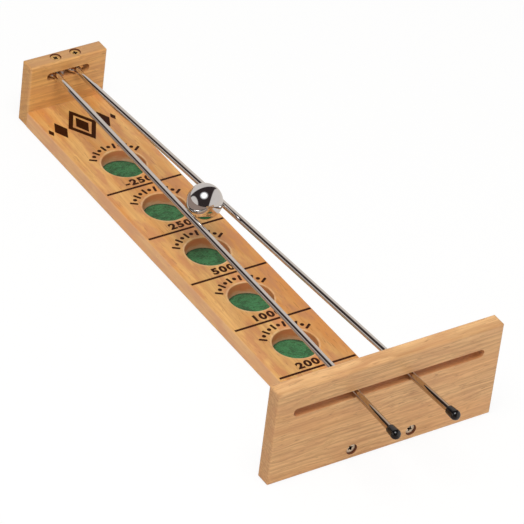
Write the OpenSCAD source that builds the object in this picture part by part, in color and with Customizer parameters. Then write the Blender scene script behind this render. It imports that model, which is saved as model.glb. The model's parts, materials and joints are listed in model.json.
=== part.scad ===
// Ball rolling skill game: a steel ball rides on two steel rails that swing apart over a pocketed board.
// The player's end is at -Y, the pivots are at +Y, and the origin is at the middle of the board's underside.

/* [Board] */
// Length of the board between the two upright plates
board_l = 402; // [370:1:440]
// Width of the board, and of the back plate that matches it
board_w = 63.5; // [60:0.5:72]
// Thickness of the board
board_t = 12.7; // [12:0.1:18]
// Rounding of the board's four long edges
board_edge_r = 1.2; // [0.4:0.1:2.5]

/* [Pockets] */
// Diameter of each blind pocket
pocket_d = 32; // [28:0.5:36]
// Depth of each pocket below the board's top
pocket_depth = 9.7; // [7:0.1:10.5]
// Distance from one pocket's centre to the next
pocket_pitch = 56.4; // [48:0.1:58]
// Distance from the back plate to the first pocket's centre
pocket_inset = 82; // [60:1:90]
// Width of the broken edge round each pocket's mouth
pocket_rim = 0.4; // [0.2:0.1:0.8]
// Thickness of the felt disc on each pocket's floor
felt_t = 1; // [0.6:0.1:2]

/* [Front plate] */
// Width of the front plate
front_w = 177.8; // [165:0.1:200]
// Height of the front plate
front_h = 76; // [70:0.5:90]
// Thickness of the front plate
front_t = 12; // [10:0.1:16]
// Overall length of the slot that the rails run in
front_slot_l = 150.3; // [120:0.1:158]
// Height of that slot
front_slot_h = 6.35; // [6:0.05:8]
// Height of the middle of that slot above the table
front_slot_z = 56.2; // [50:0.1:62]

/* [Back plate] */
// Height of the back plate
back_h = 50.8; // [48:0.1:60]
// Thickness of the back plate
back_t = 12; // [11:0.1:16]
// Overall length of the slot that holds the rails' eyes
back_slot_l = 35; // [34:0.5:48]
// Height of that slot
back_slot_h = 6.35; // [6.2:0.05:8]
// Height of the middle of that slot above the table
back_slot_z = 39; // [34:0.1:41]

/* [Plate edges] */
// Rounding of both plates' edges
plate_edge_r = 1.8; // [0.5:0.1:1.9]

/* [Rails] */
// Diameter of the rails' steel rod
rod_d = 4.76; // [4:0.01:5]
// Distance between the two pivot screws
pivot_spacing = 16.2; // [15:0.1:18]
// How far each rod's axis passes to the left of its eye's centre
eye_offset = 1.5; // [1:0.1:3]
// Radius of the bend that leads each rod into its eye
eye_bend_r = 5; // [3:0.1:8]
// Where the eye's curl ends, counted from the rail's own direction
eye_end_angle = 316; // [270:1:318]
// How much the rod's radius is drawn down by each bend
bend_draw = 0.04; // [0.03:0.01:0.06]
// How far the grips' noses stand out in front of the front plate
rail_reach = 51.3; // [45:0.1:80]
// How far the pair of rails is swung aside from the board's middle line
rail_skew = -0.36; // [-1.5:0.01:1.5]

/* [Grips] */
// Outside diameter of a grip at its round nose
grip_d = 7.2; // [6.8:0.1:10]
// Outside diameter of a grip at its mouth
grip_mouth_d = 6.3; // [6.2:0.1:8]
// Length of a grip
grip_l = 10.5; // [9:0.5:30]
// Thickness of a grip's closed nose beyond the rod's end
grip_nose_t = 2; // [1.5:0.1:3]
// Rounding of a grip's mouth
grip_lip_r = 0.5; // [0.2:0.05:0.6]

/* [Ball] */
// Diameter of the steel ball
ball_d = 25.4; // [24:0.1:27]
// Distance of the ball from the line of the pivots
ball_station = 194.5; // [150:0.5:220]
// Height of the ball's centre above the rails' centre lines
ball_ride = 5.4; // [4:0.1:8]

/* [Screws] */
// Diameter of the wood screws' shanks
screw_d = 4.2; // [3.5:0.1:4.6]
// Diameter of their countersunk heads
screw_head_d = 8; // [7:0.1:9]
// Length of the screws that hold the plates to the board
plate_screw_l = 32; // [24:1:45]
// Distance of those screws from the board's long sides
plate_screw_edge = 8.2; // [8:0.1:14]
// Height of those screws above the table
plate_screw_z = 8.1; // [6.5:0.1:8.2]
// Length of the pivot screws
pivot_screw_l = 32; // [26:1:34]
// How far the heads of the screws in the plates' faces are sunk below the wood
plate_screw_sink = 1.7; // [0.2:0.1:1.8]
// How far the heads of the pivot screws are sunk below the back plate's top
pivot_screw_sink = 0.9; // [0.2:0.1:1.8]
// Length of a screw's pointed tip
screw_tip_l = 4; // [2:0.5:6]
// Length of each arm of the cross in a screw's head, end to end
cross_l = 4.4; // [3:0.1:5]
// Width of the arms of that cross
cross_w = 0.95; // [0.6:0.05:1.2]
// Depth of that cross
cross_depth = 1.3; // [0.8:0.1:1.5]

/* [Fits] */
// Gap between the ball and each rail
ball_clear = 0.3; // [0.1:0.05:0.5]
// Gap between a pivot screw's shank and the eye round it
eye_clear = 0.3; // [0.1:0.05:0.5]
// Room under an eye, which tilts with its rail
eye_lift = 0.45; // [0.4:0.05:0.7]
// Gap between a rail and the floor of the front slot
rail_lift = 0.12; // [0.05:0.01:0.3]
// Gap between a screw and the hole that it cuts in the wood
screw_clear = 0.05; // [0.02:0.01:0.1]
// Gap between a felt disc and its pocket's wall
felt_clear = 0.25; // [0.1:0.05:0.6]
// Gap between a grip's bore and the rod in it
grip_clear = 0.05; // [0.02:0.01:0.1]

/* [Hidden] */
$fn = 64;
left = -1;
right = 1;
pocket_count = 5;
// Cutting solids run this far past the faces that they open
through = 1;

// Ends of the board, faces of the plates and line of the pivots
board_front = -board_l / 2;
board_back = board_l / 2;
front_face = board_front - front_t;
back_face = board_back + back_t;
pivot_y = board_back + back_t / 2;
plate_screw_x = board_w / 2 - plate_screw_edge;

// Rod, eye and pivot sizes
rod_r = rod_d / 2;
screw_r = screw_d / 2;
eye_bore_r = screw_r + eye_clear;
neck_rod_r = rod_r - bend_draw;
eye_rod_r = rod_r - 2 * bend_draw;
eye_r = eye_bore_r + eye_rod_r;
eye_neck_y = eye_offset + eye_bend_r;
eye_neck_x = sqrt(pow(eye_r + eye_bend_r, 2) - eye_neck_y * eye_neck_y);
eye_start_angle = atan2(eye_neck_y, eye_neck_x);
// Each bend starts this many degrees inside the thicker stretch before it
bend_lap = 3;

// Slope of the rails, from their eyes up to the front slot's floor
eye_z = back_slot_z - back_slot_h / 2 + rod_r + eye_lift;
rail_front_z = front_slot_z - front_slot_h / 2 + rod_r + rail_lift;
rail_slope = atan2(rail_front_z - eye_z, pivot_y - board_front);
rail_l = (pivot_y - front_face + rail_reach) / cos(rail_slope);
rod_l = rail_l - grip_nose_t;

// Spread of the rails, which lie against the ball
ball_r = ball_d / 2;
ball_gap = sqrt(pow(ball_r + rod_r + ball_clear, 2) - ball_ride * ball_ride);
half_spread = atan2(ball_gap - pivot_spacing / 2, ball_station);

// Place of the ball, square above the middle of the two rails
function rail_turn(side) = rail_skew + side * half_spread;
function rail_x(side) =
    side * pivot_spacing / 2 - eye_offset / cos(rail_turn(side)) + ball_station * tan(rail_turn(side));
ball_pos = [(rail_x(left) + rail_x(right)) / 2,
    pivot_y - ball_station + ball_ride * sin(rail_slope),
    eye_z + ball_station * tan(rail_slope) + ball_ride * cos(rail_slope)];

function pocket_y(i) = board_back - pocket_inset - (i - 1) * pocket_pitch;

// Rounded rectangle centred on the origin
module round_rect(w, h, r) {
    square([w - 2 * r, h], center = true);
    square([w, h - 2 * r], center = true);
    for (x = [-1, 1], y = [-1, 1]) translate([x * (w / 2 - r), y * (h / 2 - r)]) circle(r);
}

// Upright plate with all its edges rounded, standing on the table with its middle at the given distance
module upright(w, t, h, middle) {
    translate([0, middle, h / 2]) intersection() {
        linear_extrude(h, center = true) round_rect(w, t, plate_edge_r);
        rotate([90, 0, 0]) linear_extrude(t, center = true) round_rect(w, h, plate_edge_r);
        rotate([90, 0, 90]) linear_extrude(w, center = true) round_rect(t, h, plate_edge_r);
    }
}

// Round-ended slot cut through an upright plate
module slot_cut(l, h, t, middle, z) {
    translate([0, middle, z]) rotate([90, 0, 0]) {
        cube([l - h, h, t + 2 * through], center = true);
        for (x = [-1, 1]) translate([x * (l - h) / 2, 0, 0])
            cylinder(h = t + 2 * through, d = h, center = true);
    }
}

// Countersunk wood screw pointing down, with the wood's surface at z = 0
module wood_screw(l, sink) {
    cone_h = screw_head_d / 2 - screw_r;
    color("silver") difference() {
        translate([0, 0, -sink]) rotate_extrude() polygon([
            [0, 0], [screw_head_d / 2, 0], [screw_r, -cone_h],
            [screw_r, -l + screw_tip_l], [0, -l]]);
        for (turn = [0, 90]) translate([0, 0, -sink]) rotate(turn)
            cube([cross_l, cross_w, 2 * cross_depth], center = true);
    }
}

// Hole that such a screw leaves in the wood
module screw_hole(l, sink) {
    head_r = screw_head_d / 2 + screw_clear;
    hole_r = screw_r + screw_clear;
    rotate_extrude() polygon([
        [0, through], [head_r, through], [head_r, -sink], [hole_r, -sink - head_r + hole_r],
        [hole_r, -sink - l - screw_clear], [0, -sink - l - screw_clear]]);
}

// Places of the screws, each turned so that its own z axis leaves the wood
module at_front_screw(side) {
    translate([side * plate_screw_x, front_face, plate_screw_z]) rotate([90, 0, 0]) children();
}
module at_back_screw(side) {
    translate([side * plate_screw_x, back_face, plate_screw_z]) rotate([-90, 0, 0]) children();
}
module at_pivot_screw(side) {
    translate([side * pivot_spacing / 2, pivot_y, back_h]) children();
}

// Frame of one rail: its own x axis runs from the pivot up the rod towards the player
module at_rail(side) {
    translate([side * pivot_spacing / 2, pivot_y, eye_z])
        rotate([0, -rail_slope, rail_turn(side) - 90]) children();
}

// Part of a ring of rod, bent round the origin from one angle to another
module rod_bend(bend_r, section_r, from, to) {
    rotate(from) rotate_extrude(angle = to - from) translate([bend_r, 0]) circle(section_r);
}

// Straight rod along x, with the neck and the open eye round the origin
module eyed_rod() {
    mirror([0, 1, 0]) {
        translate([eye_neck_x, eye_offset, 0]) rotate([0, 90, 0])
            cylinder(h = rod_l - eye_neck_x, r = rod_r);
        translate([eye_neck_x, eye_neck_y, 0])
            rod_bend(eye_bend_r, neck_rod_r, 180 + eye_start_angle, 270 + bend_lap);
        rod_bend(eye_r, eye_rod_r, eye_start_angle - bend_lap, eye_end_angle);
    }
}

module play_board() {
    color("peru") difference() {
        translate([0, 0, board_t / 2]) rotate([90, 0, 0])
            linear_extrude(board_l, center = true) round_rect(board_w, board_t, board_edge_r);
        for (i = [1 : pocket_count]) translate([0, pocket_y(i), board_t]) {
            translate([0, 0, -pocket_depth]) cylinder(h = pocket_depth + through, d = pocket_d);
            translate([0, 0, -pocket_rim])
                cylinder(h = 2 * pocket_rim, d1 = pocket_d, d2 = pocket_d + 4 * pocket_rim);
        }
        for (side = [left, right]) {
            at_front_screw(side) screw_hole(plate_screw_l, plate_screw_sink);
            at_back_screw(side) screw_hole(plate_screw_l, plate_screw_sink);
        }
    }
}

module front_plate() {
    middle = (board_front + front_face) / 2;
    color("burlywood") difference() {
        upright(front_w, front_t, front_h, middle);
        slot_cut(front_slot_l, front_slot_h, front_t, middle, front_slot_z);
        for (side = [left, right]) at_front_screw(side) screw_hole(plate_screw_l, plate_screw_sink);
    }
}

module back_plate() {
    middle = (board_back + back_face) / 2;
    color("burlywood") difference() {
        upright(board_w, back_t, back_h, middle);
        slot_cut(back_slot_l, back_slot_h, back_t, middle, back_slot_z);
        for (side = [left, right]) {
            at_back_screw(side) screw_hole(plate_screw_l, plate_screw_sink);
            at_pivot_screw(side) screw_hole(pivot_screw_l, pivot_screw_sink);
        }
    }
}

// The two rails are alike, so both eyes curl the same way
module rail(side) {
    color("lightgray") at_rail(side) eyed_rod();
}

// Rubber cap pushed over the rod's end, a little fuller at its round nose
module grip(side) {
    nose_r = grip_d / 2;
    mouth_r = grip_mouth_d / 2;
    bore_r = rod_r + grip_clear;
    mouth = [rail_l - grip_l, -eye_offset, 0];
    color([0.1, 0.1, 0.1]) at_rail(side) translate(mouth) rotate([0, 90, 0]) difference() {
        rotate_extrude() {
            polygon([[0, 0], [mouth_r - grip_lip_r, 0], [mouth_r, grip_lip_r],
                [nose_r, grip_l - nose_r], [0, grip_l - nose_r]]);
            translate([0, grip_l - nose_r]) intersection() {
                circle(nose_r);
                square(nose_r);
            }
        }
        translate([0, 0, -through]) cylinder(h = grip_l - grip_nose_t + through, r = bore_r);
    }
}

module ball() {
    color("gainsboro") translate(ball_pos) sphere(ball_r);
}

module pocket_felt(i) {
    color("darkgreen") translate([0, pocket_y(i), board_t - pocket_depth])
        cylinder(h = felt_t, r = pocket_d / 2 - felt_clear);
}

play_board();
front_plate();
back_plate();
rail(left);  // left_rail
rail(right);  // right_rail
grip(left);  // left_grip
grip(right);  // right_grip
ball();
for (i = [1 : pocket_count])
    pocket_felt(i);
at_front_screw(left) wood_screw(plate_screw_l, plate_screw_sink);  // front_screw_left
at_front_screw(right) wood_screw(plate_screw_l, plate_screw_sink);  // front_screw_right
at_back_screw(left) wood_screw(plate_screw_l, plate_screw_sink);  // back_screw_left
at_back_screw(right) wood_screw(plate_screw_l, plate_screw_sink);  // back_screw_right
at_pivot_screw(left) wood_screw(pivot_screw_l, pivot_screw_sink);  // pivot_screw_left
at_pivot_screw(right) wood_screw(pivot_screw_l, pivot_screw_sink);  // pivot_screw_right
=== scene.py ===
# Looks of the ball rolling skill game: camera, studio, finishes, felts, print, grips and screws
import bmesh
import bpy
import json
import math
from mathutils import Euler, Matrix, Vector


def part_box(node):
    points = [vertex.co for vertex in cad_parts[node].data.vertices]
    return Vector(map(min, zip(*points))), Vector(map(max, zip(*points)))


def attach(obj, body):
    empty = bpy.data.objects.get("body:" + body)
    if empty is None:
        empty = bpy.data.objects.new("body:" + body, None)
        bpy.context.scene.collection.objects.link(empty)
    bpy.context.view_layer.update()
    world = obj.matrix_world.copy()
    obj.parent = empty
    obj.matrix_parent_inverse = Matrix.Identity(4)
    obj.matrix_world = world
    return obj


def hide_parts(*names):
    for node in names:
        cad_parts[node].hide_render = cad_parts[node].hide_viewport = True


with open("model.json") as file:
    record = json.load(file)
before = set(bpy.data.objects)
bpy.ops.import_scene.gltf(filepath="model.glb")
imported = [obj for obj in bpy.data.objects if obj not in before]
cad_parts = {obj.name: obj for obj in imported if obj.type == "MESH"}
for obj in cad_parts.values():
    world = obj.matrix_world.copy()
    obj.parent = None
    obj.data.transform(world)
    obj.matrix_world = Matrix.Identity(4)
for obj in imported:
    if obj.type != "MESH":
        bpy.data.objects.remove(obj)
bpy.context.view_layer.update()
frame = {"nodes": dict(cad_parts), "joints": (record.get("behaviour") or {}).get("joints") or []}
nodes = frame["nodes"]
mm = 0.001
weldGap = 1e-7  # m
print("frame loaded with", len(nodes), "nodes")


# Working habits: select, edit, pick, apply

def onlySelect(piece):
    bpy.ops.object.select_all(action="DESELECT")
    piece.select_set(True)
    bpy.context.view_layer.objects.active = piece


def editOn(piece, kind="FACE"):
    onlySelect(piece)
    bpy.ops.object.mode_set(mode="EDIT")
    bpy.ops.mesh.select_mode(type=kind)


def editOff():
    bpy.ops.object.mode_set(mode="OBJECT")


def pick(piece, kind, test):  # selects the verts, edges or faces that pass the test
    mesh = bmesh.from_edit_mesh(piece.data)
    bpy.ops.mesh.select_all(action="DESELECT")
    for part in getattr(mesh, kind):
        if test(part):
            part.select_set(True)
    mesh.select_flush_mode()
    bmesh.update_edit_mesh(piece.data)


def pullUp(height):  # extrudes what is selected along Z
    bpy.ops.mesh.extrude_region_move(TRANSFORM_OT_translate={"value": (0, 0, height)})


def tidyMesh():
    bpy.ops.mesh.select_all(action="SELECT")
    bpy.ops.mesh.remove_doubles(threshold=weldGap)
    bpy.ops.mesh.normals_make_consistent(inside=False)


def applyModifier(piece, kind, **settings):
    onlySelect(piece)
    modifier = piece.modifiers.new(kind.title(), kind)
    for name, value in settings.items():
        setattr(modifier, name, value)
    bpy.ops.object.modifier_apply(modifier=modifier.name)


def copyOf(piece, place):  # a copy with its own mesh, put in its place
    made = piece.copy()
    made.data = piece.data.copy()
    made.data.transform(place)
    bpy.context.collection.objects.link(made)
    return made


def joinAll(parts):
    bpy.ops.object.select_all(action="DESELECT")
    for part in parts:
        part.select_set(True)
    bpy.context.view_layer.objects.active = parts[0]
    bpy.ops.object.join()
    return parts[0]


def finishPiece(piece, name, material, body, angle=35):
    piece.name = name
    piece.data.name = name
    piece.data.materials.clear()
    piece.data.materials.append(material)
    onlySelect(piece)
    bpy.ops.object.transform_apply(location=True, rotation=True, scale=True)
    bpy.ops.object.shade_smooth_by_angle(angle=math.radians(angle))
    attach(piece, body)


def boxOf(name):  # middle and half size of a CAD node, in millimetres
    low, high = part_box(name)
    return (low + high) / 2 / mm, (high - low) / 2 / mm


# Camera at the photograph's angle

photoView = {
    "azimuth": -36.78,
    "elevation": 36.66,
    "roll": 7.38,
    "aim": (-34.3, -103.5, 90.2),  # mm, a point in the middle of the picture
    "distance": 2881,  # mm
    "lens": 300,
    "sensor": 36,
    "farClip": 50,  # m
}


def makeCamera():
    look = photoView
    tilt = Euler((math.radians(90 - look["elevation"]), 0, math.radians(look["azimuth"])))
    turn = tilt.to_matrix() @ Matrix.Rotation(math.radians(look["roll"]), 3, "Z")
    back = turn @ Vector((0, 0, 1))
    place = (Vector(look["aim"]) + look["distance"] * back) * mm
    bpy.ops.object.camera_add(location=place, rotation=turn.to_euler())
    camera = bpy.context.object
    camera.data.lens = look["lens"]
    camera.data.sensor_width = look["sensor"]
    camera.data.clip_end = look["farClip"]
    bpy.context.scene.camera = camera


makeCamera()
print("camera set")


# Node helpers

def linear(colour):  # 0 to 255 screen colour to shader colour
    parts = [c / 255 for c in colour]
    return tuple(c / 12.92 if c < 0.04045 else ((c + 0.055) / 1.055) ** 2.4 for c in parts) + (1.0,)


def addNode(tree, kind, inputs, **settings):  # sockets among the inputs are linked
    made = tree.nodes.new(kind)
    for name, value in settings.items():
        setattr(made, name, value)
    for name, value in inputs.items():
        if isinstance(value, bpy.types.NodeSocket):
            tree.links.new(value, made.inputs[name])
        else:
            made.inputs[name].default_value = value
    return made


def calc(tree, operation, first, second=0.0, third=0.0):
    inputs = {0: first, 1: second, 2: third}
    return addNode(tree, "ShaderNodeMath", inputs, operation=operation).outputs[0]


def times(tree, first, second):
    return calc(tree, "MULTIPLY", first, second)


def hypotenuse(tree, first, second):
    squares = calc(tree, "ADD", times(tree, first, first), times(tree, second, second))
    return calc(tree, "SQRT", squares)


def vectorCalc(tree, operation, first, second=(0, 0, 0)):
    made = addNode(tree, "ShaderNodeVectorMath", {0: first, 1: second}, operation=operation)
    return made.outputs["Value" if operation == "DOT_PRODUCT" else "Vector"]


def axesOf(tree, vector):
    return addNode(tree, "ShaderNodeSeparateXYZ", {0: vector}).outputs


def slope(tree, value, start, end, low=0.0, high=1.0):  # soft step between two values
    inputs = {"Value": value, "From Min": start, "From Max": end, "To Min": low, "To Max": high}
    return addNode(tree, "ShaderNodeMapRange", inputs, interpolation_type="SMOOTHSTEP").outputs["Result"]


def blendColour(tree, factor, first, second):  # 6, 7 and 2 are the colour sockets of a Mix node
    inputs = {0: factor, 6: first, 7: second}
    return addNode(tree, "ShaderNodeMix", inputs, data_type="RGBA").outputs[2]


def noise(tree, vector, stretch, detail=2.0, roughness=0.5):
    scaled = vectorCalc(tree, "MULTIPLY", vector, stretch)
    inputs = {"Vector": scaled, "Scale": 1.0, "Detail": detail, "Roughness": roughness}
    return addNode(tree, "ShaderNodeTexNoise", inputs).outputs["Fac"]


def newGroup(name, inputs, outputs):
    group = bpy.data.node_groups.new(name, "ShaderNodeTree")
    for label, kind, value in inputs:
        socket = group.interface.new_socket(label, in_out="INPUT", socket_type="NodeSocket" + kind)
        socket.default_value = value
    for label, kind in outputs:
        group.interface.new_socket(label, in_out="OUTPUT", socket_type="NodeSocket" + kind)
    return group, group.nodes.new("NodeGroupInput").outputs, group.nodes.new("NodeGroupOutput").inputs


def fillGroup(tree, group, inputs):
    return addNode(tree, "ShaderNodeGroup", inputs, node_tree=group).outputs


def newMaterial(name):
    material = bpy.data.materials.new(name)
    material.use_nodes = True
    tree = material.node_tree
    shader = tree.nodes.get("Principled BSDF")
    coordinate = tree.nodes.new("ShaderNodeTexCoord").outputs["Object"]
    return material, tree, shader, coordinate


def inMillimetres(tree, coordinate, middle=(0, 0, 0), turn=(0, 0, 0)):
    scaled = addNode(tree, "ShaderNodeVectorMath", {0: coordinate, "Scale": 1 / mm}, operation="SCALE")
    centred = vectorCalc(tree, "SUBTRACT", scaled.outputs["Vector"], middle)
    inputs = {"Vector": centred, "Rotation": [math.radians(a) for a in turn]}
    return addNode(tree, "ShaderNodeMapping", inputs).outputs["Vector"]


def bump(tree, height, distance, strength=1.0):
    inputs = {"Height": height, "Distance": distance, "Strength": strength}
    return addNode(tree, "ShaderNodeBump", inputs).outputs["Normal"]


# Studio: pale floor, soft key above the camera, white cards that only reflections see

studio = {
    "floor": 8.0,  # m, half its side
    "floorColour": (250, 250, 249),
    "floorGlow": 0.88,  # share of plain white in what the camera sees of the floor
    "floorMirror": ((130, 105, 91), (212, 202, 192)),  # painted reflection of the floor in polished metal: darker left of the board as painted shade, lighter right of it
    "floorMirrorSpan": (-0.04, 0.08),  # m across, where the left colour ends and the right one begins
    "floorMirrorShare": 0.9,
    "fill": (255, 252, 247),
    "fillStrength": 0.52,
    "keyAzimuth": -36.8,
    "keyElevation": 71,
    "keyDistance": 1.8,
    "keySize": 1.1,
    "keyPower": 20.0,
    "room": (52, 44, 44),  # dark room above and behind the camera
    "card": (212, 205, 199),
    "cardSoft": 0.035,  # softness of a card's edge, in cosines
    # each round card: the way to its middle, and its half angle in degrees
    "cards": [((0.205, 0.976, 0.07), 43.1), ((0.795, -0.562, -0.228), 65.1), ((-0.958, 0.274, -0.082), 33.3)],
    "glareWay": (-0.291, -0.179, 0.94),  # the lamp's own mirror image
    # each stage of it: degrees from its middle where it starts and where it is full, and its strength
    "glare": [(27, 14, 1.0), (13, 5, 8.0)],
}


def makeFloor():
    look = studio
    bpy.ops.object.select_all(action="DESELECT")
    bpy.ops.mesh.primitive_plane_add(size=2 * look["floor"])
    floor = bpy.context.object
    floor.name = "studio_floor"
    material, tree, shader, coordinate = newMaterial("pale_floor")
    shader.inputs["Base Color"].default_value = linear(look["floorColour"])
    shader.inputs["Roughness"].default_value = 0.9
    shader.inputs["Specular IOR Level"].default_value = 0.0
    rays = tree.nodes.new("ShaderNodeLightPath").outputs
    seen = calc(tree, "MAXIMUM", rays["Is Camera Ray"], rays["Is Transmission Ray"])
    aside = axesOf(tree, coordinate)["X"]
    left, right = (linear(colour) for colour in look["floorMirror"])
    # painted reflection: the floor glows only for glossy rays, darker on the left
    mirrored = blendColour(tree, slope(tree, aside, *look["floorMirrorSpan"]), left, right)
    mixed = shader.outputs[0]
    for ray, share, colour in ((seen, look["floorGlow"], (1, 1, 1, 1)),
                               (rays["Is Glossy Ray"], look["floorMirrorShare"], mirrored)):
        glow = addNode(tree, "ShaderNodeEmission", {"Color": colour, "Strength": 1.0}).outputs[0]
        inputs = {0: times(tree, ray, share), 1: mixed, 2: glow}
        mixed = addNode(tree, "ShaderNodeMixShader", inputs).outputs[0]
    tree.links.new(mixed, tree.nodes["Material Output"].inputs["Surface"])
    floor.data.materials.append(material)


def makeWorld():
    look = studio
    world = bpy.data.worlds.new("studio")
    bpy.context.scene.world = world
    world.use_nodes = True
    tree = world.node_tree
    way = tree.nodes.new("ShaderNodeTexCoord").outputs["Generated"]
    soft = look["cardSoft"]
    covered = 0.0
    for middle, halfAngle in look["cards"]:
        near = vectorCalc(tree, "DOT_PRODUCT", way, Vector(middle).normalized())
        limit = math.cos(math.radians(halfAngle))
        covered = calc(tree, "MAXIMUM", covered, slope(tree, near, limit - soft, limit + soft))
    mirrored = blendColour(tree, covered, linear(look["room"]), linear(look["card"]))
    near = vectorCalc(tree, "DOT_PRODUCT", way, Vector(look["glareWay"]).normalized())
    for start, full, strength in look["glare"]:
        share = slope(tree, near, math.cos(math.radians(start)), math.cos(math.radians(full)))
        mirrored = blendColour(tree, share, mirrored, (strength, strength, strength, 1.0))
    rays = tree.nodes.new("ShaderNodeLightPath").outputs
    fill = linear(look["fill"])
    dimmed = tuple(c * look["fillStrength"] for c in fill[:3]) + (1.0,)
    colour = blendColour(tree, rays["Is Glossy Ray"], dimmed, mirrored)
    seen = calc(tree, "MAXIMUM", rays["Is Camera Ray"], rays["Is Transmission Ray"])
    colour = blendColour(tree, seen, colour, (1, 1, 1, 1))
    tree.links.new(colour, tree.nodes["Background"].inputs["Color"])


def makeKey():
    look = studio
    azimuth = math.radians(look["keyAzimuth"])
    elevation = math.radians(look["keyElevation"])
    out = Vector((math.sin(azimuth) * math.cos(elevation), -math.cos(azimuth) * math.cos(elevation),
                  math.sin(elevation)))
    bpy.ops.object.light_add(type="AREA", location=out * look["keyDistance"])
    key = bpy.context.object
    key.name = "key_light"
    key.rotation_euler = (-out).to_track_quat("-Z", "Y").to_euler()
    key.data.shape = "DISK"
    key.data.size = look["keySize"]
    key.data.energy = look["keyPower"]
    key.visible_glossy = False  # the world shows its soft glare instead


makeFloor()
makeWorld()
makeKey()
bpy.context.scene.view_settings.view_transform = "Standard"
print("studio lit")


# Shared finishes: grain of the wood, wear with a painted highlight along its edges, fine scratches in metal

grainScale = {  # each noise's scale across, along and through the wood, per mm
    "drift": (0.014, 0.0035, 0.014),
    "ripple": (0.06, 0.02, 0.06),
    "streak": (0.6, 0.022, 0.6),
    "fibre": (3.2, 0.09, 3.2),
    "pore": (1.5, 0.12, 1.5),
    "blush": (0.045, 0.011, 0.045),
    "mottle": (0.13, 0.04, 0.13),
}
grainSpan = {  # the values of each noise between which its mark comes up
    "streak": (0.36, 0.68),
    "pore": (0.62, 0.7),
    "blush": (0.42, 0.66),
    "mottle": (0.44, 0.64),
}


def makeWoodGrain():  # grain runs along Y, in millimetres
    group, given, result = newGroup("woodGrain", [
        ("Vector", "Vector", (0, 0, 0)),
        ("Pith", "Vector", (20, 0, -60)),
        ("Ring Width", "Float", 4.0),
        ("Ring Strength", "Float", 0.5),
        ("Wander", "Float", 8.0),
        ("Ripple", "Float", 3.0),
        ("Streak Strength", "Float", 0.4),
        ("Pore Strength", "Float", 0.5),
        ("Blush Strength", "Float", 0.3),
        ("Mottle Strength", "Float", 0.3),
        ("Light", "Color", (0.7, 0.5, 0.3, 1)),
        ("Dark", "Color", (0.4, 0.25, 0.12, 1)),
        ("Blush", "Color", (0.6, 0.3, 0.1, 1)),
        ("Mottle", "Color", (0.5, 0.25, 0.12, 1)),
        ("Pore", "Color", (0.2, 0.1, 0.05, 1)),
    ], [("Color", "Color"), ("Gloss Loss", "Float"), ("Height", "Float")])
    place = given["Vector"]
    drift = calc(group, "SUBTRACT", noise(group, place, grainScale["drift"]), 0.5)
    ripple = calc(group, "SUBTRACT", noise(group, place, grainScale["ripple"]), 0.5)
    rippled = times(group, ripple, given["Ripple"])
    drift = calc(group, "MULTIPLY_ADD", drift, given["Wander"], rippled)
    axes = axesOf(group, vectorCalc(group, "SUBTRACT", place, given["Pith"]))
    across = calc(group, "ADD", axes["X"], drift)
    depth = calc(group, "MULTIPLY_ADD", drift, 0.6, axes["Z"])
    years = calc(group, "DIVIDE", hypotenuse(group, across, depth), given["Ring Width"])
    inputs = {"W": years, "Scale": 0.55, "Detail": 1.0}
    uneven = addNode(group, "ShaderNodeTexNoise", inputs, noise_dimensions="1D")
    years = calc(group, "MULTIPLY_ADD", uneven.outputs["Fac"], 1.6, years)
    season = calc(group, "FRACT", years)
    darkening = slope(group, season, 0.3, 0.9)
    lateWood = times(group, darkening, slope(group, season, 0.92, 1.0, 1.0, 0.0))
    wavy = addNode(group, "ShaderNodeCombineXYZ", {0: across, 1: axes["Y"], 2: depth}).outputs[0]
    streak = slope(group, noise(group, wavy, grainScale["streak"], 4.0, 0.6), *grainSpan["streak"])
    fibre = noise(group, wavy, grainScale["fibre"], 2.0)
    pore = slope(group, noise(group, wavy, grainScale["pore"], 1.0), *grainSpan["pore"])
    earlyWood = calc(group, "SUBTRACT", 1.15, lateWood)
    pore = times(group, pore, earlyWood)
    blush = slope(group, noise(group, place, grainScale["blush"], 3.0, 0.6), *grainSpan["blush"])
    ringShare = times(group, lateWood, given["Ring Strength"])
    colour = blendColour(group, ringShare, given["Light"], given["Dark"])
    streakShare = times(group, times(group, streak, fibre), given["Streak Strength"])
    colour = blendColour(group, times(group, streakShare, 1.8), colour, given["Dark"])
    blushShare = times(group, blush, given["Blush Strength"])
    colour = blendColour(group, blushShare, colour, given["Blush"])
    mottle = slope(group, noise(group, place, grainScale["mottle"], 3.0, 0.55), *grainSpan["mottle"])
    mottleShare = times(group, mottle, given["Mottle Strength"])
    colour = blendColour(group, mottleShare, colour, given["Mottle"])
    poreShare = times(group, pore, given["Pore Strength"])
    colour = blendColour(group, poreShare, colour, given["Pore"])
    loss = calc(group, "MULTIPLY_ADD", poreShare, 0.3, times(group, fibre, 0.12))
    height = calc(group, "SUBTRACT", times(group, fibre, 0.25), poreShare)
    group.links.new(colour, result["Color"])
    group.links.new(loss, result["Gloss Loss"])
    group.links.new(height, result["Height"])
    return group


def makeEdgeWearAndHighlight():  # 1 along the edges of a box round the origin, in millimetres, where wear and a painted highlight go
    group, given, result = newGroup("edgeWearAndHighlight", [
        ("Vector", "Vector", (0, 0, 0)),
        ("Half Size", "Vector", (10, 10, 10)),
        ("Reach", "Float", 2.0),
    ], [("Mask", "Float")])
    place = vectorCalc(group, "ABSOLUTE", given["Vector"])
    sides = axesOf(group, vectorCalc(group, "SUBTRACT", given["Half Size"], place))
    least = calc(group, "MINIMUM", sides["X"], sides["Y"])
    most = calc(group, "MAXIMUM", sides["X"], sides["Y"])
    middle = calc(group, "MAXIMUM", least, calc(group, "MINIMUM", most, sides["Z"]))
    rough = noise(group, given["Vector"], (0.16, 0.16, 0.16), 3.0, 0.65)
    far = times(group, given["Reach"], calc(group, "MULTIPLY_ADD", rough, 2.0, -0.35))
    share = calc(group, "DIVIDE", middle, calc(group, "MAXIMUM", far, 0.05))
    group.links.new(slope(group, share, 0.2, 1.0, 1.0, 0.0), result["Mask"])
    return group


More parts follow.
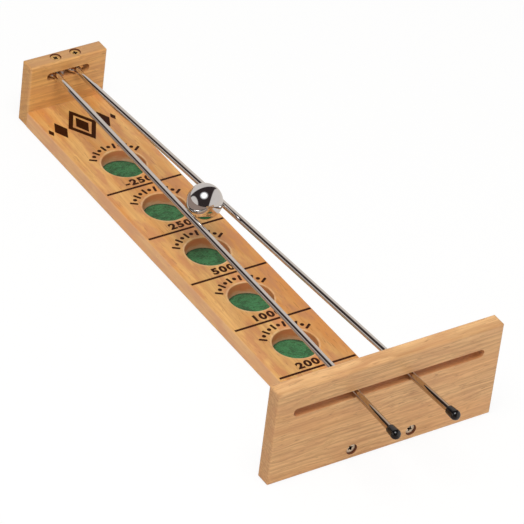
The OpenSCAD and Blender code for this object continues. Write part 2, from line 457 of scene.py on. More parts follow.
def makeScratches():  # fine lines along Y and faint smudges, in millimetres
    group, given, result = newGroup("fineScratches", [
        ("Vector", "Vector", (0, 0, 0)),
        ("Along", "Float", 0.02),
        ("Across", "Float", 6.0),
    ], [("Lines", "Float"), ("Smudge", "Float")])
    inputs = {0: given["Across"], 1: given["Along"], 2: given["Across"]}
    stretch = addNode(group, "ShaderNodeCombineXYZ", inputs)
    lines = noise(group, given["Vector"], stretch.outputs[0], 2.0)
    smudge = slope(group, noise(group, given["Vector"], (0.09, 0.05, 0.09), 4.0, 0.6), 0.45, 0.75)
    group.links.new(slope(group, lines, 0.55, 0.75), result["Lines"])
    group.links.new(smudge, result["Smudge"])
    return group


woodGrain = makeWoodGrain()
edgeWearAndHighlight = makeEdgeWearAndHighlight()
fineScratches = makeScratches()
print("shared finishes built")


# Wood of the board and of the two plates

boardWood = {
    "node": "play_board",
    "turn": 0,  # degrees from the grain's way to Y
    "pith": (38, 0, -70),
    "ringWidth": 6.5,
    "rings": 0.3,
    "wander": 26,
    "ripple": 7,
    "streaks": 0.4,
    "pores": 0.3,
    "blushes": 0.8,
    "mottles": 0.75,
    "light": (234, 183, 112),
    "dark": (186, 120, 62),
    "blush": (221, 143, 68),
    "mottle": (205, 138, 90),
    "pore": (146, 86, 44),
    # edge colour: partly wear, partly a painted highlight
    "worn": (230, 186, 134),
    "endTint": 0.3,
    "sideColour": (240, 192, 150),
    "sideTint": 0.42,
}
plateWood = {
    "turn": 90,
    "pith": (-46, 0, -150),
    "ringWidth": 3.4,
    "rings": 0.45,
    "wander": 12,
    "ripple": 8,
    "streaks": 0.62,
    "pores": 0.35,
    "blushes": 0.4,
    "mottles": 0.4,
    "light": (233, 185, 129),
    "dark": (178, 126, 78),
    "blush": (228, 166, 106),
    "mottle": (208, 150, 102),
    "pore": (128, 80, 44),
    # edge colour: partly wear, partly a painted highlight
    "worn": (228, 188, 140),
    "endTint": 0.25,
}
# each slot: its length, height and the height of its middle
frontWood = dict(plateWood, node="front_plate", slot=(150.3, 6.35, 56.2))
backWood = dict(plateWood, node="back_plate", slot=(35, 6.35, 39), pith=(60, 0, -90), streaks=0.5, pores=0.3,
                light=(235, 182, 110), dark=(184, 128, 74), blush=(229, 160, 86), mottle=(210, 148, 92),
                topColour=(178, 134, 98), topTint=0.45)
varnish = {
    "roughness": 0.4,
    "coat": 0.25,
    "coatRoughness": 0.22,
    "grainDepth": 0.00012,  # m
    "wearAndHighlightReach": 1.3,  # mm
    "wearAndHighlightStrength": 0.25,
    "endColour": (158, 102, 64),
    "endDepth": 1.2,  # mm
    "faceDepth": (0.5, 0.05),  # mm under a tinted face, where the tint starts and where it is full
    "wornRoughness": 0.15,
}
pocketCount = 5
# colour of the bored walls: partly the wood's own, partly painted light
pocketWall = {
    "light": (250, 204, 164),
    "dark": (230, 142, 94),
    "strength": 0.85,
    "beyondFelt": 0.9,  # mm, from the felt's edge to just behind the wall
    "sideSoft": 0.3,
    "top": 12.2,
    "topSoft": 0.6,
    "floor": 1.5,
    "floorSoft": 0.5,
    "fade": (8.5, 3.0),  # heights above which it is dark, and below which it is lighter as painted light
    "uneven": 9.0,
    "patches": (0.11, 0.11, 0.3),
}
# pale rings round the pockets' tops: partly wear, partly a painted highlight
rimWearAndHighlight = {"colour": (246, 214, 170), "strength": 0.5, "reach": 1.1, "patches": (0.14, 0.14, 0.14)}
# painted shade inside the plates' slots
slotShade = {"colour": (194, 126, 80), "strength": 0.45, "edge": 0.12}
# painted shade on the walls of the screws' holes
holeShade = {"colour": (96, 38, 16), "strength": 0.9, "radius": 4.05, "edge": 0.2}


def pocketPlace(tree, coordinate):  # distance from the nearest pocket's axis, and height, in millimetres
    axes = axesOf(tree, inMillimetres(tree, coordinate))
    centre = boxOf("pocket_felt_3")[0].y
    pitch = boxOf("pocket_felt_2")[0].y - centre
    fromCentre = calc(tree, "SUBTRACT", axes["Y"], centre)
    beyond = calc(tree, "GREATER_THAN", calc(tree, "ABSOLUTE", fromCentre), pocketCount / 2 * pitch)
    along = calc(tree, "WRAP", fromCentre, pitch / 2, -pitch / 2)
    return calc(tree, "MULTIPLY_ADD", beyond, pitch, hypotenuse(tree, axes["X"], along)), axes["Z"]


def pocketColours(tree, coordinate, place, colour):  # the bored walls, lighter towards the felt as painted light, and the rims round them, worn and with a painted highlight
    away, height = pocketPlace(tree, coordinate)
    top = pocketWall["top"]
    floor = pocketWall["floor"]
    wallRadius = boxOf("pocket_felt_1")[1].x + pocketWall["beyondFelt"]
    inside = slope(tree, away, wallRadius, wallRadius - pocketWall["sideSoft"])
    under = slope(tree, height, top, top - pocketWall["topSoft"])
    over = slope(tree, height, floor, floor + pocketWall["floorSoft"])
    wall = times(tree, times(tree, inside, under), over)
    uneven = calc(tree, "SUBTRACT", noise(tree, place, pocketWall["patches"], 3.0, 0.6), 0.5)
    level = calc(tree, "MULTIPLY_ADD", uneven, pocketWall["uneven"], height)
    # painted light: the wall's colour lifted towards the felt
    wallColour = blendColour(tree, slope(tree, level, *pocketWall["fade"]), linear(pocketWall["dark"]),
                             linear(pocketWall["light"]))
    colour = blendColour(tree, times(tree, wall, pocketWall["strength"]), colour, wallColour)
    # rim ring: partly wear, partly a painted highlight
    fromRim = calc(tree, "ABSOLUTE", calc(tree, "SUBTRACT", away, wallRadius))
    ring = slope(tree, fromRim, rimWearAndHighlight["reach"], 0.2 * rimWearAndHighlight["reach"])
    atTop = slope(tree, height, top - pocketWall["topSoft"] / 2, top + pocketWall["topSoft"] / 2)
    patchy = slope(tree, noise(tree, place, rimWearAndHighlight["patches"], 3.0, 0.6), 0.3, 0.7, 0.3, 1.0)
    worn = times(tree, times(tree, ring, atTop), patchy)
    rimWearAndHighlightShare = times(tree, worn, rimWearAndHighlight["strength"])
    return blendColour(tree, rimWearAndHighlightShare, colour, linear(rimWearAndHighlight["colour"]))


def insideMask(tree, first, second, radius, edge):  # 1 where two distances from an axis stay within a radius
    return slope(tree, hypotenuse(tree, first, second), radius + edge, radius + edge / 2)


def cutMasks(tree, coordinate, look):  # where shade is painted: the slot's wall, and the walls of the screws' holes
    axes = axesOf(tree, inMillimetres(tree, coordinate))
    sideways = calc(tree, "ABSOLUTE", axes["X"])
    length, height, middle = look["slot"]
    past = calc(tree, "MAXIMUM", calc(tree, "SUBTRACT", sideways, (length - height) / 2), 0.0)
    rise = calc(tree, "SUBTRACT", axes["Z"], middle)
    slotShadeMask = insideMask(tree, past, rise, height / 2, slotShade["edge"])
    fixing = boxOf("front_screw_right")[0]
    aside = calc(tree, "SUBTRACT", sideways, fixing.x)
    above = calc(tree, "SUBTRACT", axes["Z"], fixing.z)
    holeShadeMask = insideMask(tree, aside, above, holeShade["radius"], holeShade["edge"])
    if look["node"] == "back_plate":
        pivot = boxOf("pivot_screw_right")[0]
        aside = calc(tree, "SUBTRACT", sideways, pivot.x)
        behind = calc(tree, "SUBTRACT", axes["Y"], pivot.y)
        pivotMask = insideMask(tree, aside, behind, holeShade["radius"], holeShade["edge"])
        holeShadeMask = calc(tree, "MAXIMUM", holeShadeMask, pivotMask)
    return slotShadeMask, holeShadeMask


def makeWood(name, look):
    material, tree, shader, coordinate = newMaterial(name)
    middle, half = boxOf(look["node"])
    place = inMillimetres(tree, coordinate, middle)
    grainPlace = inMillimetres(tree, coordinate, middle, (0, 0, look["turn"]))
    grain = fillGroup(tree, woodGrain, {
        "Vector": grainPlace,
        "Pith": look["pith"],
        "Ring Width": look["ringWidth"],
        "Ring Strength": look["rings"],
        "Wander": look["wander"],
        "Ripple": look["ripple"],
        "Streak Strength": look["streaks"],
        "Pore Strength": look["pores"],
        "Blush Strength": look["blushes"],
        "Mottle Strength": look["mottles"],
        "Light": linear(look["light"]),
        "Dark": linear(look["dark"]),
        "Blush": linear(look["blush"]),
        "Mottle": linear(look["mottle"]),
        "Pore": linear(look["pore"]),
    })
    colour = grain["Color"]
    start, full = varnish["faceDepth"]
    halfLength = half.x if look["turn"] else half.y
    along = axesOf(tree, vectorCalc(tree, "ABSOLUTE", grainPlace))["Y"]
    endFace = slope(tree, along, halfLength - varnish["endDepth"], halfLength)
    endShare = times(tree, endFace, look["endTint"])
    colour = blendColour(tree, endShare, colour, linear(varnish["endColour"]))
    if "topTint" in look:
        level = axesOf(tree, place)["Z"]
        topShare = slope(tree, level, half.z - start, half.z - full, 0.0, look["topTint"])
        colour = blendColour(tree, topShare, colour, linear(look["topColour"]))
    if look["node"] == "play_board":
        aside = axesOf(tree, vectorCalc(tree, "ABSOLUTE", place))["X"]
        sideShare = slope(tree, aside, half.x - start, half.x - full, 0.0, look["sideTint"])
        colour = blendColour(tree, sideShare, colour, linear(look["sideColour"]))
        colour = pocketColours(tree, coordinate, place, colour)
    else:
        slotShadeMask, holeShadeMask = cutMasks(tree, coordinate, look)
        # painted shade in the slot and in the screws' holes
        for mask, wall in ((slotShadeMask, slotShade), (holeShadeMask, holeShade)):
            colour = blendColour(tree, times(tree, mask, wall["strength"]), colour, linear(wall["colour"]))
    # lighter edges: partly wear, partly a painted highlight on the rounded edges
    wearAndHighlightInputs = {"Vector": place, "Half Size": half, "Reach": varnish["wearAndHighlightReach"]}
    wearAndHighlight = fillGroup(tree, edgeWearAndHighlight, wearAndHighlightInputs)["Mask"]
    wearAndHighlightShare = times(tree, wearAndHighlight, varnish["wearAndHighlightStrength"])
    colour = blendColour(tree, wearAndHighlightShare, colour, linear(look["worn"]))
    roughness = calc(tree, "ADD", grain["Gloss Loss"], varnish["roughness"])
    roughness = calc(tree, "MULTIPLY_ADD", wearAndHighlight, varnish["wornRoughness"], roughness)
    tree.links.new(colour, shader.inputs["Base Color"])
    tree.links.new(roughness, shader.inputs["Roughness"])
    tree.links.new(bump(tree, grain["Height"], varnish["grainDepth"]), shader.inputs["Normal"])
    shader.inputs["Coat Weight"].default_value = varnish["coat"]
    shader.inputs["Coat Roughness"].default_value = varnish["coatRoughness"]
    return material


def dress(name, material):  # gives a CAD node its finish
    mesh = nodes[name].data
    mesh.materials.clear()
    mesh.materials.append(material)


dress("play_board", makeWood("board_wood", boardWood))
dress("front_plate", makeWood("front_plate_wood", frontWood))
dress("back_plate", makeWood("back_plate_wood", backWood))
print("wood finished")


# Metal of the rails, the ball and the screws

railSteel = {
    "colour": (233, 229, 225),
    "roughness": 0.045,
    "lines": 0.06,
    "smudges": 0.05,
    "along": 0.01,
    "across": 5.0,
    # painted reflection on the rail's outer part
    "reflectionTint": (199, 183, 165),
    "reflectionTintFrom": (-206, -214),  # mm along the rail, where its painted reflection, darker and browner, starts and where it is full
}
ballSteel = {
    "colour": (232, 232, 234),
    "roughness": 0.05,
    "lines": 0.03,
    "smudges": 0.04,
    "along": 0.3,
    "across": 2.0,
}
screwPlating = {
    "colour": (255, 236, 208),
    "roughness": 0.34,
    "lines": 0.12,
    "smudges": 0.2,
    "along": 3.0,
    "across": 3.0,
    "metallic": 0.3,
    # painted shade in the cross recess
    "recessShade": (26, 17, 11),
    "recessRoughness": 0.4,
}
pivotPlating = dict(screwPlating, colour=(226, 176, 106))
smudgeTone = {"darker": 0.86, "strength": 0.6}


def makeMetal(name, look):
    material, tree, shader, coordinate = newMaterial(name)
    marks = fillGroup(tree, fineScratches, {
        "Vector": inMillimetres(tree, coordinate),
        "Along": look["along"],
        "Across": look["across"],
    })
    roughness = calc(tree, "MULTIPLY_ADD", marks["Lines"], look["lines"], look["roughness"])
    roughness = calc(tree, "MULTIPLY_ADD", marks["Smudge"], look["smudges"], roughness)
    bright = linear(look["colour"])
    dull = tuple(c * smudgeTone["darker"] for c in bright[:3]) + (1.0,)
    colour = blendColour(tree, times(tree, marks["Smudge"], smudgeTone["strength"]), bright, dull)
    # painted reflection: the rail's outer part tinted darker and browner
    if "reflectionTint" in look:
        along = axesOf(tree, inMillimetres(tree, coordinate))["Y"]
        colour = blendColour(tree, slope(tree, along, *look["reflectionTintFrom"]), colour, linear(look["reflectionTint"]))
    if "recessShade" in look:
        # painted shade in the cross recess, with rougher metal there
        recess = addNode(tree, "ShaderNodeAttribute", {}, attribute_name="recess").outputs["Fac"]
        colour = blendColour(tree, recess, colour, linear(look["recessShade"]))
        roughness = calc(tree, "MULTIPLY_ADD", recess, look["recessRoughness"], roughness)
    tree.links.new(colour, shader.inputs["Base Color"])
    tree.links.new(roughness, shader.inputs["Roughness"])
    shader.inputs["Metallic"].default_value = look.get("metallic", 1.0)
    return material


railFinish = makeMetal("rail_steel", railSteel)
ballFinish = makeMetal("ball_steel", ballSteel)
screwFinish = makeMetal("screw_plating", screwPlating)
pivotFinish = makeMetal("pivot_plating", pivotPlating)
dress("left_rail", railFinish)
dress("right_rail", railFinish)
dress("ball", ballFinish)
print("metal finished")


# Felt discs on the pockets' floors

felt = {
    "colour": (58, 131, 78),
    "shade": (28, 78, 40),
    "fluff": (100, 164, 108),
    "edgeColour": (24, 48, 18),
    "edgeShade": (2.6, 0.75),  # mm in from the edge where it starts, and its strength
    "gap": 0.15,  # mm less than the CAD disc, so that it stays clear of the wall
    "rings": 14,
    "edgeRound": 0.3,
    "rumple": 0.16,
    "rumpleSize": 4,  # mm
    "sides": 96,
    # scales of the fibres' clumps, tufts and hairs, per mm
    "clump": (0.14, 0.22, 0.2),
    "tuft": (0.55, 0.8, 0.7),
    "hair": (2.2, 3.8, 3.5),
    "nap": 0.4,  # mm
}


def makeFeltFinish():
    material, tree, shader, coordinate = newMaterial("green_felt")
    place = inMillimetres(tree, coordinate)
    clump = noise(tree, place, felt["clump"], 3.0, 0.55)
    tuft = noise(tree, place, felt["tuft"], 3.0, 0.7)
    hair = noise(tree, place, felt["hair"], 3.0, 0.7)
    matted = calc(tree, "MULTIPLY_ADD", tuft, 0.55, times(tree, clump, 0.45))
    colour = blendColour(tree, slope(tree, matted, 0.38, 0.6), linear(felt["shade"]), linear(felt["colour"]))
    colour = blendColour(tree, slope(tree, hair, 0.5, 0.8, 0.0, 0.5), colour, linear(felt["fluff"]))
    start, share = felt["edgeShade"]
    radius = boxOf("pocket_felt_1")[1].x
    edge = slope(tree, pocketPlace(tree, coordinate)[0], radius - start, radius, 0.0, share)
    colour = blendColour(tree, edge, colour, linear(felt["edgeColour"]))
    height = calc(tree, "MULTIPLY_ADD", tuft, 0.5, hair)
    tree.links.new(colour, shader.inputs["Base Color"])
    tree.links.new(slope(tree, hair, 0.2, 0.8, 0.88, 1.0), shader.inputs["Roughness"])
    tree.links.new(bump(tree, height, felt["nap"] * mm, 0.7), shader.inputs["Normal"])
    shader.inputs["Specular IOR Level"].default_value = 0.15
    shader.inputs["Sheen Weight"].default_value = 0.25
    shader.inputs["Sheen Roughness"].default_value = 0.6
    return material


def makeFelt(number, material, cloud):
    name = f"pocket_felt_{number}"
    middle, half = boxOf(name)
    radius = (half.x - felt["gap"]) * mm
    bpy.ops.object.select_all(action="DESELECT")
    bpy.ops.mesh.primitive_cylinder_add(vertices=felt["sides"], radius=radius, depth=2 * half.z * mm,
                                        location=middle * mm)
    disc = bpy.context.object
    bpy.ops.object.transform_apply(location=True, rotation=True, scale=True)
    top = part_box(name)[1].z
    editOn(disc, "EDGE")
    pick(disc, "edges", lambda e: all(abs(v.co.z - top) < 1e-6 for v in e.verts))
    bpy.ops.mesh.bevel(offset=felt["edgeRound"] * mm, segments=3)
    bpy.ops.mesh.select_mode(type="FACE")
    pick(disc, "faces", lambda f: f.normal.z > 0.99 and len(f.verts) > 8)
    step = (radius - 2 * felt["edgeRound"] * mm) / (felt["rings"] + 1)
    for ring in range(felt["rings"]):
        bpy.ops.mesh.inset(thickness=step)
    bpy.ops.mesh.poke()
    tidyMesh()
    editOff()
    lying = disc.vertex_groups.new(name="top")
    lying.add([v.index for v in disc.data.vertices if v.co.z > top - 1e-5], 1.0, "REPLACE")
    applyModifier(disc, "DISPLACE", texture=cloud, texture_coords="LOCAL", vertex_group="top", mid_level=1.0,
                  strength=felt["rumple"] * mm, direction="Z")
    finishPiece(disc, f"felt_disc_{number}", material, "stand")
    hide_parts(name)


def makeFelts():
    cloud = bpy.data.textures.new("feltRumple", "CLOUDS")
    cloud.noise_scale = felt["rumpleSize"] * mm
    cloud.noise_depth = 2
    material = makeFeltFinish()
    for number in range(1, pocketCount + 1):
        makeFelt(number, material, cloud)


makeFelts()
print("felts laid")


# Print on the board's top: divider lines, score numbers, arcs of marks and an ornament

boardPrint = {
    "ink": (54, 22, 5),
    "fadedInk": (88, 46, 18),
    "fading": 0.6,
    "film": 0.05,  # mm of ink above the wood
    "sunk": 0.02,
    "lineAhead": 28.0,  # from a pocket's centre towards the player
    "lineLength": 61,
    "lineWidth": 1.9,
    "lineRound": 0.3,
    "scores": ["-250", "250", "500", "1000", "2000"],
    "scoreHeight": 7.0,
    "scoreAhead": 25.3,  # foot of the numbers
    "scoreShift": -1.1,
    "scoreSpread": 1.2,
    "scoreWide": 1.17,
    "scoreBold": 0.05,
    "markRadius": 21.8,  # of the arc of marks, round the pocket's centre
    "markArc": (146, 34),  # degrees, from the left round to the right
    "markCount": 11,
    "dashSize": (1.9, 6),
    "dashRound": 0.7,
    "dotRadius": 1.5,
}
ornament = {
    "middle": (-3, 172),
    # each lozenge: place along the row, half width, half height, width of its frame, or 0 if it is solid
    "lozenges": [(0, 11.5, 19, 3.2), (0, 5, 9.5, 0), (-17.5, 5, 10, 0), (17.5, 5, 10, 0),
                 (-25.5, 2, 4, 0), (25.5, 2, 4, 0)],
}
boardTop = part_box("play_board")[1].z


def makeInk():
    material, tree, shader, coordinate = newMaterial("print_ink")
    place = inMillimetres(tree, coordinate)
    worn = slope(tree, noise(tree, place, (1.4, 0.5, 1.4), 4.0, 0.7), 0.5, 0.78)
    fresh, faded = linear(boardPrint["ink"]), linear(boardPrint["fadedInk"])
    colour = blendColour(tree, times(tree, worn, boardPrint["fading"]), fresh, faded)
    tree.links.new(colour, shader.inputs["Base Color"])
    tree.links.new(slope(tree, worn, 0.0, 1.0, 0.42, 0.6), shader.inputs["Roughness"])
    shader.inputs["Specular IOR Level"].default_value = 0.12
    return material


def raiseInk(piece):  # gives a flat shape the ink's thickness and lays it on the board
    editOn(piece)
    bpy.ops.mesh.select_all(action="SELECT")
    pullUp((boardPrint["film"] + boardPrint["sunk"]) * mm)
    tidyMesh()
    editOff()
    piece.data.transform(Matrix.Translation((0, 0, boardTop - boardPrint["sunk"] * mm)))


def inkBar(width, height, rounding):
    bpy.ops.object.select_all(action="DESELECT")
    bpy.ops.mesh.primitive_plane_add(size=mm)
    bar = bpy.context.object
    editOn(bar, "VERT")
    bpy.ops.mesh.select_all(action="SELECT")
    bpy.ops.transform.resize(value=(width, height, 1))
    bpy.ops.mesh.bevel(offset=rounding * mm, segments=4, affect="VERTICES")
    editOff()
    raiseInk(bar)
    return bar


def inkDot(radius):
    bpy.ops.object.select_all(action="DESELECT")
    bpy.ops.mesh.primitive_circle_add(vertices=24, radius=radius * mm, fill_type="NGON")
    dot = bpy.context.object
    raiseInk(dot)
    return dot


def inkNumber(text):
    bpy.ops.object.select_all(action="DESELECT")
    bpy.ops.object.text_add()
    number = bpy.context.object
    number.data.body = text
    number.data.align_x = "CENTER"
    number.data.space_character = boardPrint["scoreSpread"]
    number.data.offset = boardPrint["scoreBold"]
    number.data.resolution_u = 6
    bpy.ops.object.convert(target="MESH")
    number = bpy.context.object
    low = min(v.co.y for v in number.data.vertices)
    tall = max(v.co.y for v in number.data.vertices) - low
    number.data.transform(Matrix.Translation((0, -low, 0)))
    number.data.transform(Matrix.Scale(boardPrint["scoreHeight"] * mm / tall, 4))
    number.data.transform(Matrix.Scale(boardPrint["scoreWide"], 4, (1, 0, 0)))
    editOn(number)
    tidyMesh()
    editOff()
    raiseInk(number)
    return number


def inkLozenge(halfWidth, halfHeight, frameWidth):
    bpy.ops.object.select_all(action="DESELECT")
    bpy.ops.mesh.primitive_circle_add(vertices=4, radius=mm, fill_type="NGON")
    lozenge = bpy.context.object
    editOn(lozenge)
    bpy.ops.mesh.select_all(action="SELECT")
    bpy.ops.transform.resize(value=(halfWidth, halfHeight, 1))
    if frameWidth:
        bpy.ops.mesh.inset(thickness=frameWidth * mm)
        bpy.ops.mesh.delete(type="FACE")
    editOff()
    raiseInk(lozenge)
    return lozenge


def flatMove(x, y, turn=0):
    return Matrix.Translation((x * mm, y * mm, 0)) @ Matrix.Rotation(math.radians(turn), 4, "Z")


def makePocketPrint(number, ink, line, dash, dot):
    middle = boxOf(f"pocket_felt_{number}")[0]
    look = boardPrint
    parts = [copyOf(line, flatMove(middle.x, middle.y - look["lineAhead"]))]
    score = inkNumber(look["scores"][number - 1])
    score.data.transform(flatMove(middle.x + look["scoreShift"], middle.y - look["scoreAhead"]))
    parts.append(score)
    start, end = look["markArc"]
    for mark in range(look["markCount"]):
        angle = start + (end - start) * mark / (look["markCount"] - 1)
        shape = dash if mark % 2 == 0 else dot
        ray = Matrix.Translation((0, look["markRadius"] * mm, 0))
        parts.append(copyOf(shape, flatMove(middle.x, middle.y, angle - 90) @ ray))
    finishPiece(joinAll(parts), f"score_print_{number}", ink, "stand")


def makePrint():
    look = boardPrint
    ink = makeInk()
    line = inkBar(look["lineLength"], look["lineWidth"], look["lineRound"])
    dash = inkBar(*look["dashSize"], look["dashRound"])
    dot = inkDot(look["dotRadius"])
    for number in range(1, pocketCount + 1):
        makePocketPrint(number, ink, line, dash, dot)
    for model in (line, dash, dot):
        bpy.data.objects.remove(model)
    x, y = ornament["middle"]
    shapes = []
    for along, halfWidth, halfHeight, frameWidth in ornament["lozenges"]:
        lozenge = inkLozenge(halfWidth, halfHeight, frameWidth)
        lozenge.data.transform(flatMove(x + along, y))
        shapes.append(lozenge)
    finishPiece(joinAll(shapes), "ornament_print", ink, "stand")


makePrint()
print("board printed")


# Rubber grips on the rails' ends

grip = {
    "colour": (15, 13, 14),
    "dust": (38, 34, 33),
    "dusting": 0.4,
    "roughness": (0.1, 0.3),
    "sides": 48,
    "noseRings": 24,
    "wallRings": 10,
    "noseRadius": 3.6,
    "mouthRadius": 3.15,
    "length": 10.5,
    "bore": 2.43,
    "noseWall": 2,
    "lip": 0.35,
    "lipRound": [(0.6, 0.1), (0.4, 0.35)],  # each step: share of the lip's height, and how far it is in
    "boreBreak": 0.2,
    "rodOffset": 1.5,  # mm from the pivot to the rod's own line
    "setBack": 0.02,
}


def makeRubber():
    material, tree, shader, coordinate = newMaterial("grip_rubber")
    place = inMillimetres(tree, coordinate)
    grit = noise(tree, place, (2.6, 2.6, 2.6), 3.0, 0.6)
    smear = slope(tree, noise(tree, place, (0.3, 0.3, 0.3), 3.0), 0.45, 0.75)
    dusty = times(tree, smear, grip["dusting"])
    colour = blendColour(tree, dusty, linear(grip["colour"]), linear(grip["dust"]))
    roughness = slope(tree, calc(tree, "ADD", smear, grit), 0.2, 1.6, *grip["roughness"])
    tree.links.new(colour, shader.inputs["Base Color"])
    tree.links.new(roughness, shader.inputs["Roughness"])
    tree.links.new(bump(tree, grit, 0.00004, 0.5), shader.inputs["Normal"])
    shader.inputs["Specular IOR Level"].default_value = 0.75
    return material


def ringOut(piece, rise, radius):  # pulls the open rim along Z and sets its radius
    pullUp(rise * mm)
    mesh = bmesh.from_edit_mesh(piece.data)
    rim = [v for v in mesh.verts if v.select]
    now = max(v.co.to_2d().length for v in rim)
    share = radius * mm / now
    bpy.ops.transform.resize(value=(share, share, 1), center_override=(0, 0, rim[0].co.z))


def makeGripShape():  # mouth at the origin, nose up
    look = grip
    noseZ = look["length"] - look["noseRadius"]
    bpy.ops.object.select_all(action="DESELECT")
    bpy.ops.mesh.primitive_uv_sphere_add(segments=look["sides"], ring_count=look["noseRings"],
                                         radius=look["noseRadius"] * mm, location=(0, 0, noseZ * mm))
    shape = bpy.context.object
    bpy.ops.object.transform_apply(location=True, rotation=True, scale=True)
    editOn(shape)
    bpy.ops.mesh.select_all(action="SELECT")
    bpy.ops.mesh.bisect(plane_co=(0, 0, noseZ * mm), plane_no=(0, 0, 1), clear_inner=True)
    bpy.ops.mesh.select_mode(type="EDGE")
    pick(shape, "edges", lambda e: e.is_boundary)
    steps = look["wallRings"]
    fall = (noseZ - look["lip"]) / steps
    taper = look["mouthRadius"] - look["noseRadius"]
    for step in range(1, steps + 1):
        ringOut(shape, -fall, look["noseRadius"] + taper * step / steps)
    for share, inset in look["lipRound"]:
        ringOut(shape, -share * look["lip"], look["mouthRadius"] - inset)
    ringOut(shape, 0, look["bore"] + look["boreBreak"])
    ringOut(shape, look["boreBreak"], look["bore"])
    ringOut(shape, look["length"] - look["noseWall"] - look["boreBreak"], look["bore"])
    bpy.ops.mesh.edge_face_add()
    tidyMesh()
    editOff()
    return shape


def makeGrips():
    material = makeRubber()
    shape = makeGripShape()
    pivots = {joint["child"]: Vector(joint["pos_m"]) for joint in frame["joints"] if "pos_m" in joint}
    for side in ("left", "right"):
        node = f"{side}_grip"
        mesh = nodes[node].data
        heart = sum((v.co for v in mesh.vertices), Vector()) / len(mesh.vertices)
        away = heart - pivots[f"{side}_arm"]
        aside = math.asin(grip["rodOffset"] * mm / away.length)
        along = (Matrix.Rotation(aside, 3, "Z") @ away).normalized()
        tip = max((v.co - heart).dot(along) for v in mesh.vertices)
        mouth = heart + along * (tip - (grip["length"] + grip["setBack"]) * mm)
        turn = Vector((0, 0, 1)).rotation_difference(along).to_matrix().to_4x4()
        made = copyOf(shape, Matrix.Translation(mouth) @ turn)
        finishPiece(made, f"{side}_hand_grip", material, f"{side}_arm", 50)
        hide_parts(node)
    bpy.data.objects.remove(shape)


makeGrips()
print("grips fitted")


# Wood screws with crossed recesses and threads

screw = {
    "sides": 48,
    "headRadius": 3.65,
    "rim": 0.35,
    "rimRound": 0.18,
    "shankRadius": 2.1,
    "coreRadius": 1.55,
    "shoulder": 0.6,  # length of the step from the shank to the core
    "pointRadius": 0.12,
    "length": 32,
    "plain": 18,  # length of the plain shank below the head
    "tip": 5,
    "recess": (4.8, 1.8, 1.5),  # length, width and depth of each arm of the cross
    "recessFoot": 0.55,
    "recessSpan": (0.05, 0.1),  # mm under the head's face and below the cross, the span of the painted shade in the recess
    "threadPitch": 1.8,
    "threadStart": 1.2,  # mm below the plain shank
    "threadFoot": 0.5,  # half the thickness of the thread at its root
    "threadRoot": 0.1,  # how deep the root lies in the core
    "threadSteps": 24,
    "turnOf": {"front_screw_left": 24, "front_screw_right": 68, "back_screw_left": 10, "back_screw_right": 55,
               "pivot_screw_left": 38, "pivot_screw_right": 81},
}


def makeScrewBody():  # head's face at the origin, pointing down
    look = screw
    bpy.ops.object.select_all(action="DESELECT")
    headRadius = look["headRadius"]
    bpy.ops.mesh.primitive_circle_add(vertices=look["sides"], radius=headRadius * mm, fill_type="NGON")
    body = bpy.context.object
    editOn(body)
    bpy.ops.mesh.select_all(action="SELECT")
    cone = headRadius - look["shankRadius"]
    threaded = look["length"] - look["plain"] - look["shoulder"] - look["tip"]
    stages = [(look["rim"], headRadius), (cone - look["rim"], look["shankRadius"]),
              (look["plain"] - cone, look["shankRadius"]), (look["shoulder"], look["coreRadius"]),
              (threaded, look["coreRadius"]), (look["tip"], look["pointRadius"])]
    for fall, radius in stages:
        ringOut(body, -fall, radius)
    tidyMesh()
    bpy.ops.mesh.select_mode(type="EDGE")
    outer = 0.97 * headRadius * mm
    pick(body, "edges", lambda e: all(v.co.z > -1e-6 and v.co.length > outer for v in e.verts))
    bpy.ops.mesh.bevel(offset=look["rimRound"] * mm, segments=3)
    editOff()
    return body


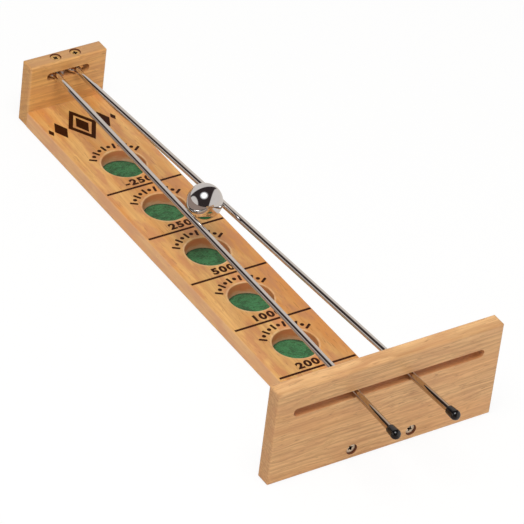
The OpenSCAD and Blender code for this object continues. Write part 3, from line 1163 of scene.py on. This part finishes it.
def cutRecess(body):
    length, width, depth = screw["recess"]
    for turn in (0, 90):
        bpy.ops.object.select_all(action="DESELECT")
        bpy.ops.mesh.primitive_cube_add(size=mm)
        cutter = bpy.context.object
        editOn(cutter)
        bpy.ops.mesh.select_all(action="SELECT")
        bpy.ops.transform.resize(value=(length, width, 2 * depth))
        pick(cutter, "faces", lambda f: f.normal.z < -0.9)
        foot = screw["recessFoot"]
        bpy.ops.transform.resize(value=(foot, foot, 1))
        editOff()
        cutter.data.transform(Matrix.Rotation(math.radians(turn), 4, "Z"))
        applyModifier(body, "BOOLEAN", operation="DIFFERENCE", object=cutter, solver="EXACT")
        bpy.data.objects.remove(cutter)
    mark = body.data.attributes.new("recess", "FLOAT", "FACE")
    under, below = screw["recessSpan"]
    for face in body.data.polygons:
        heart = face.center / mm
        within = heart.to_2d().length < length / 2
        mark.data[face.index].value = float(within and -depth - below < heart.z < -under)


def makeThread():
    look = screw
    bpy.ops.object.select_all(action="DESELECT")
    bpy.ops.mesh.primitive_circle_add(vertices=3, radius=mm, fill_type="NOTHING")
    thread = bpy.context.object
    root = look["coreRadius"] - look["threadRoot"]
    foot = look["threadFoot"]
    top = look["plain"] + look["threadStart"]
    corners = [(root, -foot), (look["shankRadius"], 0), (root, foot)]
    for vertex, (x, z) in zip(thread.data.vertices, corners):
        vertex.co = (x * mm, 0, (z - top) * mm)
    turns = int((look["length"] - look["tip"] - top) / look["threadPitch"])
    applyModifier(thread, "SCREW", axis="Z", angle=2 * math.pi, screw_offset=-look["threadPitch"] * mm,
                  iterations=turns, steps=look["threadSteps"], render_steps=look["threadSteps"],
                  use_merge_vertices=False)
    editOn(thread, "EDGE")
    pick(thread, "edges", lambda e: e.is_boundary)
    bpy.ops.mesh.fill_holes(sides=0)
    tidyMesh()
    editOff()
    return thread


def makeScrews():
    body = makeScrewBody()
    cutRecess(body)
    model = joinAll([body, makeThread()])
    outward = {"front": Vector((0, -1, 0)), "back": Vector((0, 1, 0)), "pivot": Vector((0, 0, 1))}
    for node, turn in screw["turnOf"].items():
        where, side = node.split("_screw_")
        middle, half = boxOf(node)
        out = outward[where]
        reach = sum(abs(out[axis]) * half[axis] for axis in range(3))
        swing = Vector((0, 0, 1)).rotation_difference(out).to_matrix().to_4x4()
        own = Matrix.Rotation(math.radians(turn), 4, "Z")
        made = copyOf(model, Matrix.Translation((middle + out * reach) * mm) @ swing @ own)
        finish = pivotFinish if where == "pivot" else screwFinish
        finishPiece(made, f"{where}_wood_screw_{side}", finish, "stand", 30)
        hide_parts(node)
    bpy.data.objects.remove(model)


makeScrews()
print("screws driven")
